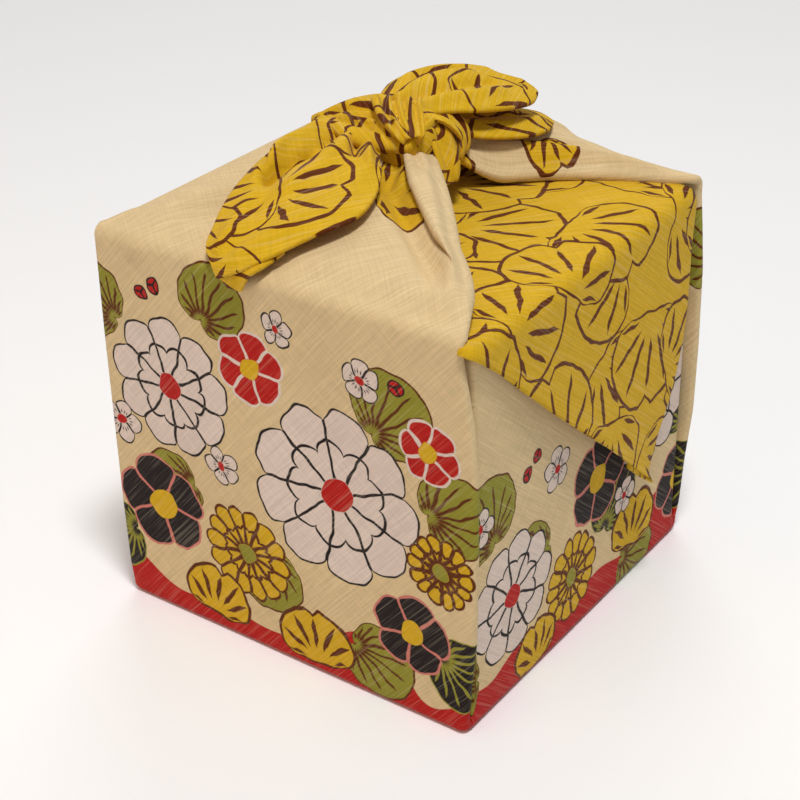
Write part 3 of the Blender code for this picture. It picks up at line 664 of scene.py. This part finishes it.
def strip_ring(strip, along, length):
    """Closed section of a strip as (point, place), starting at its edge a."""
    values, ahead, behind = (curve_through(strip.stations, min(max(at, 0.0), 1.0))
                             for at in (along, along + 0.02, along - 0.02))
    edge_a, edge_b, crown, thick = Vector(values[0:3]), Vector(values[3:6]), values[6], values[7]
    travel = Vector(ahead[0:3] + ahead[3:6] - behind[0:3] - behind[3:6]).normalized()
    normal = (edge_b - edge_a).normalized().cross(travel).normalized() * strip.out
    width = (edge_b - edge_a).length
    start_p, start_q = strip.start

    def laid(share, height, turn):
        point = edge_a.lerp(edge_b, share) + normal * height
        place = (start_p + strip.way * (turn - 0.5) * width, start_q + strip.way * along * length)
        return (point.x, point.y, point.z + EDGE), place

    ring, lower = [], []
    for step in range(strip.across):
        if strip.bundle:
            angle = 2 * pi * step / strip.across
            share = (1 - cos(angle)) / 2
            height = crown * sin(pi * share) + thick / 2 * sin(angle)
            if angle < pi:
                height += crease_height(strip.creases, along, share, length, width)
            ring.append(laid(share, height, share if angle < pi else 2 - share))
            continue
        share = step / (strip.across - 1)
        arch = sin(pi * share) ** 0.8 if 0 < share < 1 else 0.0
        crease = crease_height(strip.creases, along, share, length, width) * smooth(arch * 2)
        ring.append(laid(share, crown * arch + crease, share))
        depth = EAR_RIM + (thick - EAR_RIM) * arch
        lower.append(laid(share, crown * arch * 0.85 + crease - depth, share))
    return ring + lower[::-1]


def add_strip(patches, strip):
    length = (Vector(strip.stations[-1][0:3]) - Vector(strip.stations[0][0:3])).length
    rings = [strip_ring(strip, along, length) for along in spread(0, 1, strip.along - 1)]
    patches.add([ring + ring[:1] for ring in rings])
    patches.cap(rings[0][::-1])
    patches.cap(rings[-1])


def add_core(patches):
    """The tight middle of the knot, which all its strips run into."""
    rows = []
    for rise in spread(-pi / 2, pi / 2, 12):
        row = []
        for angle in spread(0, 2 * pi, 24):
            unit = (cos(rise) * cos(angle), cos(rise) * sin(angle), sin(rise))
            point = tuple(centre + share * radius
                          for centre, share, radius in zip(CORE_CENTRE, unit, CORE_RADII))
            row.append((point, (angle * 13, 400 + 12 * rise)))
        rows.append(row)
    patches.add(rows)


def mesh_from(patches, name):
    """Mesh of the patches, joined where they meet, with its cloth coordinates."""
    points, places = zip(*patches.points)
    mesh = bpy.data.meshes.new(name)
    mesh.from_pydata([[value * MM for value in point] for point in points], [], patches.faces)
    corners = np.zeros(len(mesh.loops), dtype=np.int32)
    mesh.loops.foreach_get("vertex_index", corners)
    places = np.array(places, dtype=np.float32)[corners]
    mesh.uv_layers.new(name="cloth").data.foreach_set("uv", places.ravel())
    work = bmesh.new()
    work.from_mesh(mesh)
    bmesh.ops.remove_doubles(work, verts=work.verts, dist=WELD * MM)
    bmesh.ops.recalc_face_normals(work, faces=work.faces)
    work.to_mesh(mesh)
    work.free()
    mesh.shade_smooth()
    return mesh


def sheet_patches():
    patches = Patches()
    rings = box_rings()
    patches.add(rings)
    patches.cap(rings[0][:-1][::-1])
    top = rings[-1]
    panel = 2 * len(fold_path(10.0, HALF, 0.0)) + SKIN_STEPS - 1
    half_ring = panel + WALL_STEPS + 1
    patches.add(tent_rows(FRONT, top[:panel]))
    under = under_corner_rows(top[panel:half_ring])
    patches.add(under)
    add_margins(patches, under[4:14])
    patches.add(tent_rows(BACK, top[half_ring:half_ring + panel]))
    over = over_corner_rows(top[half_ring + panel:2 * half_ring])
    patches.add(over)
    add_margins(patches, over[5:4 + LID_ROWS])
    patches.add([flap_row(z) for z in spread(WALL_TOP, FLAP_TIP_Z, FLAP_ROWS)])
    return patches


# ---------- the print
# Garden flowers and leaves, printed flat in few colours with brushed outlines. Sides of the cloth
# carry flowers over a red ground; its four corners are covered with overlapping ginkgo leaves.
PAINTS = {"cream": "#D7BD8F", "red": "#B4150F", "black": "#1E1414", "white": "#DCC9BC",
          "gold": "#D2A716", "olive": "#8F8A2C", "brown": "#5E2A02", "pink": "#C9776A",
          "bare_thread": "#F0E2C4", "none": "#000000"}

RED_TOP = 14.0  # mean height of the red ground above the box's foot
RED_HILLS = 34.0  # from the lowest to the highest place of its edge
GOLD_FROM_P = 298.0  # from the cloth's middle to where its corners turn gold
GOLD_FROM_Q = 328.0

# One kind of printed shape. Its outline is petals lobes, from base (a share of its radius, in the
# valleys) to 1, the rounder the lower power. half keeps only the front half, as in a fan; notch
# cuts the middle of the tip; ring is a second row of petals; strokes radiate between two shares of
# the radius. heart, ring, start and end are shares of the radius, line is in millimetres. A start
# of 9 lies beyond the outline, so no strokes show.
Kind = namedtuple("Kind", "name petals base power half notch ring heart line strokes start end "
                          "fill_paint heart_paint line_paint")
SHAPE_VALUES = {"form": "petals base power", "strokes": "strokes start end", "cuts": "half notch ring"}
KINDS = {kind.name: kind for kind in table(Kind, """
    peony 9 0.82 0.6 0 0 0.6 0.19 0.55 1 9 9 white red black,
    camellia 5 0.8 0.5 0 0 0 0.3 0.6 1 9 9 black gold pink,
    red_camellia 6 0.8 0.5 0 0 0 0.3 0.6 1 9 9 red gold white,
    chrysanthemum 14 0.86 0.6 0 0 0.55 0.2 0.7 1 9 9 gold olive brown,
    plum 5 0.62 0.45 0 0 0 0.22 0.4 20 0.3 0.55 white red black,
    leaf 1 0 2.6 0 0 0 0 0.5 20 0.08 0.86 olive olive brown,
    dark_leaf 1 0 2.6 0 0 0 0 0.5 20 0.08 0.86 black black olive,
    ginkgo 2 0 0.32 1 0.12 0 0 0.95 14 0.26 0.9 gold gold brown,
    berry 3 1 1 0 0 0 0 0.4 1 9 9 red red black,
    none 3 0 1 0 0 0 0 1 1 9 9 none none none""")}

# A shape printed on one side of the cloth: along and up are millimetres from the middle of that
# side's foot, turn is in degrees
Motif = namedtuple("Motif", "kind along up radius turn")
FIRST_SIDE = table(Motif, """
    leaf -70 118 26 150, leaf -30 128 24 60, leaf 40 108 28 50, leaf 62 84 26 20, leaf -4 46 28 250,
    dark_leaf -70 30 26 200, dark_leaf 66 30 26 -30, leaf 30 20 26 -20, leaf -40 60 24 200,
    peony -46 98 27 10, peony 24 78 34 0, camellia -56 46 20 30, camellia 54 34 16 10,
    chrysanthemum -16 40 20 0, chrysanthemum 66 64 14 0, red_camellia -10 116 14 20,
    red_camellia 62 108 12 50, ginkgo 14 4 24 95, ginkgo -34 6 22 80, plum -72 76 9 0,
    plum 36 126 8 20, plum -24 74 8 40, plum 2 134 7 10, berry -56 132 3 0, berry 50 128 3 0,
    berry -50 136 3 0""")
SECOND_SIDE = table(Motif, """
    leaf 52 96 26 120, leaf -60 70 28 110, leaf -26 50 28 190, dark_leaf 16 34 28 60,
    dark_leaf 74 50 24 100, leaf -70 20 24 180, leaf 30 12 24 -20, peony -48 42 25 0,
    peony 48 72 27 20, camellia 10 58 19 0, camellia 72 26 17 40, red_camellia 14 92 15 0,
    chrysanthemum -8 26 18 0, chrysanthemum 66 108 14 0, ginkgo 36 14 24 80, ginkgo -30 2 20 100,
    plum -68 80 8 0, plum -20 78 9 20, plum 30 40 8 0, plum 36 114 8 0, berry -40 86 3 0,
    berry -34 90 3 0""")
# Single leaves before the corners' dense ones: front, +X, back, -X
STRAYS = (
    table(Motif, "ginkgo 2 207 36 30, ginkgo 8 353 27 205"),
    (),
    table(Motif, "ginkgo -22 184 18 154, ginkgo 30 200 22 60"),
    (),
)
CORNER_LEAF = 35.0  # radius of a ginkgo leaf on the corners
CORNER_STEP_ALONG = 37.0
CORNER_STEP_UP = 28.0
# Height above the box's foot where the leaves of each corner begin: front, +X, back, -X. The
# print isn't quite centred on the cloth
CORNER_FROM = (262.0, 226.0, 250.0, 226.0)
PRINT_LAYERS = 3  # overlapping shapes kept at any place of the cloth
PRINT_REACH = 1.1  # a face this near a shape's outline still carries the shape


def corner_motifs(random, start):
    """Overlapping ginkgo leaves over one corner of the cloth."""
    motifs = []
    for row, up in enumerate(np.arange(start, CLOTH_CORNER - HALF, CORNER_STEP_UP)):
        reach = CLOTH_CORNER - HALF - up + CORNER_LEAF
        for along in np.arange(-reach, reach, CORNER_STEP_ALONG):
            motifs.append(Motif("ginkgo", along + 8 * (row % 2) + random.uniform(-4, 4),
                                up + random.uniform(-3, 3), CORNER_LEAF * random.uniform(0.9, 1.1),
                                random.uniform(0, 360)))
    random.shuffle(motifs)
    return motifs


def print_motifs():
    """Every printed shape as (kind, centre on the flat cloth, radius, turn in radians)."""
    random = np.random.default_rng(11)
    placed = []
    for quarter, start in enumerate(CORNER_FROM):
        turn = radians(90 * quarter)
        side = SECOND_SIDE if quarter % 2 else FIRST_SIDE
        for motif in (*side, *STRAYS[quarter], *corner_motifs(random, start)):
            along, up = motif.along, -(HALF + motif.up)
            centre = (along * cos(turn) - up * sin(turn), along * sin(turn) + up * cos(turn))
            placed.append((KINDS[motif.kind], centre, float(motif.radius), turn - radians(motif.turn)))
    return placed


def outline_at(kind, radius, x, y):
    """Millimetres from points to a shape's outline, positive inside."""
    angle = np.arctan2(y, x)
    lobes = kind.base + (1 - kind.base) * np.abs(np.cos(angle * kind.petals / 2)) ** kind.power
    if kind.half:
        lobes = np.where(x > 0, lobes, 0.0)
    return radius * lobes - np.hypot(x, y)


def seen_turned(offset, cosine, sine):
    """x and y of offsets on the cloth, along a shape's own directions."""
    return offset[:, 0] * cosine + offset[:, 1] * sine, -offset[:, 0] * sine + offset[:, 1] * cosine


def lay_print(mesh):
    """Write, for each face, the shapes that are printed over it, topmost first: their local
    coordinates as a UV map, and their form and colours as face values."""
    face_count = len(mesh.polygons)
    places = np.zeros(len(mesh.loops) * 2, dtype=np.float32)
    mesh.uv_layers["cloth"].data.foreach_get("uv", places)
    places = places.reshape(-1, 2)
    totals = np.zeros(face_count, dtype=np.int32)
    mesh.polygons.foreach_get("loop_total", totals)
    face_of = np.repeat(np.arange(face_count), totals)
    small = totals[face_of] <= 4
    motifs = print_motifs()
    chosen = np.full((PRINT_LAYERS, face_count), -1)
    for index, (kind, centre, radius, turn) in enumerate(motifs):
        offset = places - np.array(centre, dtype=np.float32)
        near = np.nonzero(small & (np.abs(offset).max(axis=1) < radius + 3))[0]
        x, y = seen_turned(offset[near], cos(turn), sin(turn))
        best = np.full(face_count, -99.0)
        np.maximum.at(best, face_of[near], outline_at(kind, radius, x, y))
        touched = best > -PRINT_REACH
        chosen[1:, touched] = chosen[:-1, touched]
        chosen[0][touched] = index

    kinds, centres, radii, turns = zip(*motifs, (KINDS["none"], (0.0, 0.0), 0.0, 0.0))
    centres, turns = (np.array(rows, dtype=np.float32) for rows in (centres, turns))
    values = {name: [[getattr(kind, part) for part in parts.split()] for kind in kinds]
              for name, parts in SHAPE_VALUES.items()}
    values["size"] = [(radius, radius * kind.heart, kind.line) for kind, radius in zip(kinds, radii)]
    for name in ("fill", "heart", "line"):
        values[name] = [srgb(PAINTS[getattr(kind, name + "_paint")]) for kind in kinds]
    for layer, picked in enumerate(chosen):
        on_corners = picked[face_of]
        angle = turns[on_corners]
        local = np.stack(seen_turned(places - centres[on_corners], np.cos(angle), np.sin(angle)), axis=1)
        uv = mesh.uv_layers.new(name=f"shape_{layer}")
        uv.data.foreach_set("uv", local.astype(np.float32).ravel())
        for name, rows in values.items():
            rows = np.array(rows, dtype=np.float32)[picked]
            kind, field = ("FLOAT_VECTOR", "vector") if rows.shape[1] == 3 else ("FLOAT_COLOR", "color")
            attribute = mesh.attributes.new(f"{name}_{layer}", kind, "FACE")
            attribute.data.foreach_set(field, rows.ravel())


def srgb(text):
    """Linear colour from an sRGB hex value."""
    values = [int(text[index:index + 2], 16) / 255 for index in (1, 3, 5)]
    linear = [value / 12.92 if value <= 0.04045 else ((value + 0.055) / 1.055) ** 2.4 for value in values]
    return (*linear, 1.0)


def new_object(name, data):
    made = bpy.data.objects.new(name, data)
    bpy.context.collection.objects.link(made)
    return made


def new_material(name):
    """A material and its shader."""
    material = bpy.data.materials.new(name)
    material.use_nodes = True
    return material, material.node_tree.nodes["Principled BSDF"]


def wrap_object():
    """The whole cloth as one object: the folded sheet with its thickness, and the knot."""
    sheet = new_object("sheet", mesh_from(sheet_patches(), "sheet"))
    thickness = sheet.modifiers.new("thickness", "SOLIDIFY")
    thickness.thickness = THREAD_SHEET * MM
    thickness.offset = -1.0
    bpy.context.view_layer.update()
    solid = bpy.data.meshes.new_from_object(sheet.evaluated_get(bpy.context.evaluated_depsgraph_get()))
    bpy.data.objects.remove(sheet, do_unlink=True)
    knot = Patches()
    for strip in STRIPS:
        add_strip(knot, strip)
    add_core(knot)
    work = bmesh.new()
    work.from_mesh(solid)
    work.from_mesh(mesh_from(knot, "knot"))
    mesh = bpy.data.meshes.new("wrap")
    work.to_mesh(mesh)
    work.free()
    mesh.shade_smooth()
    return new_object("wrap", mesh)


# ---------- materials
THREAD_ANGLE = 49.0  # degrees by which the threads are turned from the wrap's sides
FINE_THREAD = 0.75  # spacing of the threads that show; the real 0.4 mm is too fine to see
THREAD_RUN = 26.0  # how many spacings a thread keeps its thickness
SLUB_LENGTH = 38.0  # length of a thick place in a thread
SLUB_WIDTH = 0.8
BRUSH_WOBBLE = 1.4  # how far a brushed outline strays
SHARP = 4.0  # a printed edge blends over 1 / SHARP of a millimetre
OUTLINE_SHARE = 1.6  # width of a shape's outline, as a share of its inner lines
BRUSH_TAPER = 0.24  # how fast a stroke grows from its tips
NOTCH_SLOPE = 8.0  # how steep the sides of a fan's notch are


def add_node(tree, kind, *inputs, **settings):
    """Add a shader node. kind may name its operation after a dot, and an operation alone is one of
    the Math node. inputs are values, nodes or sockets for its sockets in order, or one dict of
    them by socket name or number."""
    kind, _, operation = ("Math." + kind if kind.isupper() else kind).partition(".")
    node = tree.nodes.new("ShaderNode" + kind)
    if operation:
        node.operation = operation
    for name, value in settings.items():
        setattr(node, name, value)
    by_name = inputs and isinstance(inputs[0], dict)
    for name, value in (inputs[0] if by_name else dict(enumerate(inputs))).items():
        if isinstance(value, bpy.types.Node):
            value = value.outputs[0]
        if isinstance(value, bpy.types.NodeSocket):
            tree.links.new(value, node.inputs[name])
        else:
            node.inputs[name].default_value = value
    return node


def printed_shape(tree, layer, below, wobble):
    """Colour with one printed shape laid over the colour below it."""
    node = partial(add_node, tree)
    local = node("VectorMath.ADD", node("UVMap", uv_map=f"shape_{layer}"), wobble)
    out = node("VectorMath.LENGTH", local).outputs["Value"]
    x, y, _ = node("SeparateXYZ", local).outputs
    angle = node("ARCTAN2", y, x)
    read = {name: node("Attribute", attribute_type="GEOMETRY", attribute_name=f"{name}_{layer}").outputs
            for name in ("form", "size", "strokes", "cuts", "fill", "heart", "line")}
    ((petals, base, power), (radius, heart, line), (strokes, start, end), (half, notch, ring)) = (
        node("SeparateXYZ", read[name]["Vector"]).outputs for name in ("form", "size", "strokes", "cuts"))

    # Petals, those of the inner row between them, and strokes: waves round the shape
    swings = [node("ABSOLUTE", node(wave, node("MULTIPLY", node("MULTIPLY", angle, count), 0.5)))
              for wave, count in (("COSINE", petals), ("SINE", petals), ("SINE", strokes))]
    outer, inner = (node("MULTIPLY_ADD", node("POWER", swing, power),
                         node("SUBTRACT", 1.0, base), base) for swing in swings[:2])
    hidden = node("MULTIPLY", node("LESS_THAN", x, 0.0), half)
    outer = node("MULTIPLY", outer, node("SUBTRACT", 1.0, hidden))
    near_axis = node("MULTIPLY_ADD", node("ABSOLUTE", angle), -NOTCH_SLOPE, 1.0, use_clamp=True)
    outer = node("SUBTRACT", outer, node("MULTIPLY", near_axis, notch))
    reach = node("MULTIPLY", outer, radius)
    edge = node("SUBTRACT", reach, out)
    inside = node("MULTIPLY_ADD", edge, SHARP, 0.5, use_clamp=True)

    # Lines: outline, valleys between petals, outline of the inner row, and brushed strokes
    drawn = node("SUBTRACT", node("MULTIPLY", line, OUTLINE_SHARE), edge)
    valley, stroke = (node("DIVIDE", node("MULTIPLY", swing, out), count)
                      for swing, count in ((swings[0], petals), (swings[2], strokes)))
    valley = node("MINIMUM", node("MULTIPLY_ADD", valley, -2.0, line), node("SUBTRACT", out, heart))
    inner_row = node("MULTIPLY", node("MULTIPLY", inner, radius), ring)
    inner_row = node("SUBTRACT", line, node("ABSOLUTE", node("SUBTRACT", inner_row, out)))
    taper = node("MINIMUM", node("SUBTRACT", out, node("MULTIPLY", radius, start)),
                 node("SUBTRACT", node("MULTIPLY", reach, end), out))
    brush = node("MINIMUM", node("MULTIPLY", taper, BRUSH_TAPER), line)
    stroke = node("MULTIPLY_ADD", stroke, -2.0, brush)
    for part in (valley, inner_row, stroke):
        drawn = node("MAXIMUM", drawn, part)
    drawn = node("MULTIPLY_ADD", drawn, SHARP, 0.5, use_clamp=True)
    in_heart = node("MULTIPLY_ADD", node("SUBTRACT", heart, out), SHARP, 0.0, use_clamp=True)

    colour = read["fill"]["Color"]
    for share, name in ((drawn, "line"), (in_heart, "heart")):
        colour = node("Mix", {0: share, 6: colour, 7: read[name]["Color"]}, data_type="RGBA").outputs[2]
    return node("Mix", {0: inside, 6: below, 7: colour}, data_type="RGBA").outputs[2]


def printed_cotton():
    """Slub cotton, plain woven and screen printed: matt, with thin uneven threads that stay
    lighter where the ink doesn't reach them."""
    material, shader = new_material("printed_slub_cotton")
    tree = material.node_tree
    node = partial(add_node, tree)
    cloth = node("UVMap", uv_map="cloth")

    # Threads run diagonally over the square as it is wrapped, along x of these coordinates
    turned = node("VectorRotate", {"Vector": cloth, "Angle": radians(THREAD_ANGLE)}, rotation_type="Z_AXIS")
    run = FINE_THREAD * THREAD_RUN
    threads, cross_threads, slubs = (
        node("TexNoise", {"Vector": node("Mapping", {"Vector": turned, "Location": start,
                                                     "Scale": (1 / along, 1 / across, 1)}),
                          "Scale": 1.0, "Detail": detail, "Roughness": rough}, noise_dimensions="2D")
        for start, along, across, detail, rough in (
            ((0, 0, 0), run, FINE_THREAD, 3, 0.6), ((0, 0, 0), FINE_THREAD, run, 3, 0.5),
            ((7, 3, 0), SLUB_LENGTH, SLUB_WIDTH, 1, 0.5)))
    slub = node("MapRange", slubs, 0.6, 0.74, 0.0, 1.0)

    # Ground: cream, red at the foot of the box and gold on the corners of the square
    away_p, away_q = (node("ABSOLUTE", way) for way in node("SeparateXYZ", cloth).outputs[:2])
    away = node("MAXIMUM", away_p, away_q)
    wide = node("TexNoise", {"Vector": cloth, "Scale": 0.025, "Detail": 0.0}, noise_dimensions="2D")
    hills = node("MULTIPLY_ADD", wide, RED_HILLS, HALF + RED_TOP - RED_HILLS / 2)
    low = node("SUBTRACT", hills, away)
    far = node("MAXIMUM", node("SUBTRACT", away_p, GOLD_FROM_P),
               node("SUBTRACT", away_q, GOLD_FROM_Q))
    colour = srgb(PAINTS["cream"])
    for within, paint in ((low, "red"), (far, "gold")):
        share = node("MULTIPLY_ADD", within, SHARP, 0.5, use_clamp=True)
        colour = node("Mix", {0: share, 6: colour, 7: srgb(PAINTS[paint])}, data_type="RGBA").outputs[2]

    strays = node("TexNoise", {"Vector": cloth, "Scale": 0.11, "Detail": 1.0}, noise_dimensions="2D")
    centred = node("VectorMath.SUBTRACT", strays.outputs["Color"], (0.5, 0.5, 0.5))
    wobble = node("VectorMath.SCALE", {0: centred, 3: 2 * BRUSH_WOBBLE})
    wobble = node("VectorMath.MULTIPLY", wobble, (1, 1, 0))
    for layer in reversed(range(PRINT_LAYERS)):
        colour = printed_shape(tree, layer, colour, wobble)

    weave = node("MULTIPLY_ADD", cross_threads, 0.6, threads)
    shade = node("MapRange", weave, 0.55, 1.05, 0.9, 1.1)
    colour = node("VectorMath.SCALE", {0: colour, 3: shade})
    high_threads = node("MapRange", threads, 0.5, 0.8, 0.0, 0.07)
    unprinted = node("MULTIPLY_ADD", slub, 0.1, high_threads)
    colour = node("Mix", {0: unprinted, 6: colour, 7: srgb(PAINTS["bare_thread"])}, data_type="RGBA")
    tree.links.new(colour.outputs[2], shader.inputs["Base Color"])

    height = node("MULTIPLY_ADD", slub, 0.4, weave)
    bump = node("Bump", {"Height": height, "Strength": 0.5, "Distance": 0.3 * MM})
    tree.links.new(bump.outputs[0], shader.inputs["Normal"])
    shader.inputs["Roughness"].default_value = 0.82
    shader.inputs["Sheen Weight"].default_value = 0.05
    shader.inputs["Sheen Roughness"].default_value = 0.5
    shader.inputs["Specular IOR Level"].default_value = 0.15
    return material


wrap = wrap_object()
lay_print(wrap.data)
wrap.data.materials.append(printed_cotton())
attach(wrap, "root")
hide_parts("wrap_cloth")

# ---------- camera, light and floor
AZIMUTH = 35.8  # degrees that the camera stands to the right of straight in front
ELEVATION = 30.2
ROLL_ANGLE = -1.09
CAMERA_PLACE = Vector((2.19, -3.07, 2.66)) * EDGE * MM
LENS = 80.775
SENSOR = 36.0
FLOOR_REACH = 6.0  # metres from the middle to the floor's edges
LIGHT_TARGET = Vector((0, 0, 0.08))


def add_camera():
    azimuth, elevation, roll = radians(AZIMUTH), radians(ELEVATION), radians(ROLL_ANGLE)
    forward = Vector((-sin(azimuth) * cos(elevation), cos(azimuth) * cos(elevation), -sin(elevation)))
    level = Vector((cos(azimuth), sin(azimuth), 0))
    upright = level.cross(forward)
    right = level * cos(roll) + upright * sin(roll)
    up = upright * cos(roll) - level * sin(roll)
    data = bpy.data.cameras.new("camera")
    data.lens = LENS
    data.sensor_width = SENSOR
    camera = new_object("camera", data)
    turn = Matrix((right, up, -forward)).transposed()
    camera.matrix_world = Matrix.Translation(CAMERA_PLACE) @ turn.to_4x4()
    bpy.context.scene.camera = camera


def add_floor():
    """Matt white paper: uncoated, so it takes soft shadows and shows no gloss."""
    mesh = bpy.data.meshes.new("floor")
    corners = [(x * FLOOR_REACH, y * FLOOR_REACH, 0) for x, y in ((-1, -1), (1, -1), (1, 1), (-1, 1))]
    mesh.from_pydata(corners, [], [(0, 1, 2, 3)])
    material, shader = new_material("matt_white_paper")
    shader.inputs["Base Color"].default_value = srgb("#FFFFFF")
    shader.inputs["Roughness"].default_value = 0.9
    mesh.materials.append(material)
    new_object("floor", mesh)


def add_softbox(name, place, energy, size, colour):
    data = bpy.data.lights.new(name, "AREA")
    data.energy = energy
    data.color = srgb(colour)[:3]
    data.size = size
    light = new_object(name, data)
    light.location = place
    light.rotation_euler = (LIGHT_TARGET - Vector(place)).to_track_quat("-Z", "Y").to_euler()


def add_world():
    world = bpy.data.worlds.new("studio")
    bpy.context.scene.world = world
    world.use_nodes = True
    background = world.node_tree.nodes["Background"]
    background.inputs["Color"].default_value = srgb("#FFFFFF")
    background.inputs["Strength"].default_value = 0.30


add_camera()
add_floor()
add_softbox("overhead_softbox", (0.33, -0.3, 1.4), 11.8, 0.24, "#FFFFFF")
add_softbox("front_softbox", (-0.6, -1.4, 0.7), 4.0, 1.2, "#FFCC98")
add_softbox("back_softbox", (-1.2, 1.9, 1.9), 18.0, 1.6, "#FFFFFF")
add_world()
bpy.context.scene.view_settings.view_transform = "Standard"
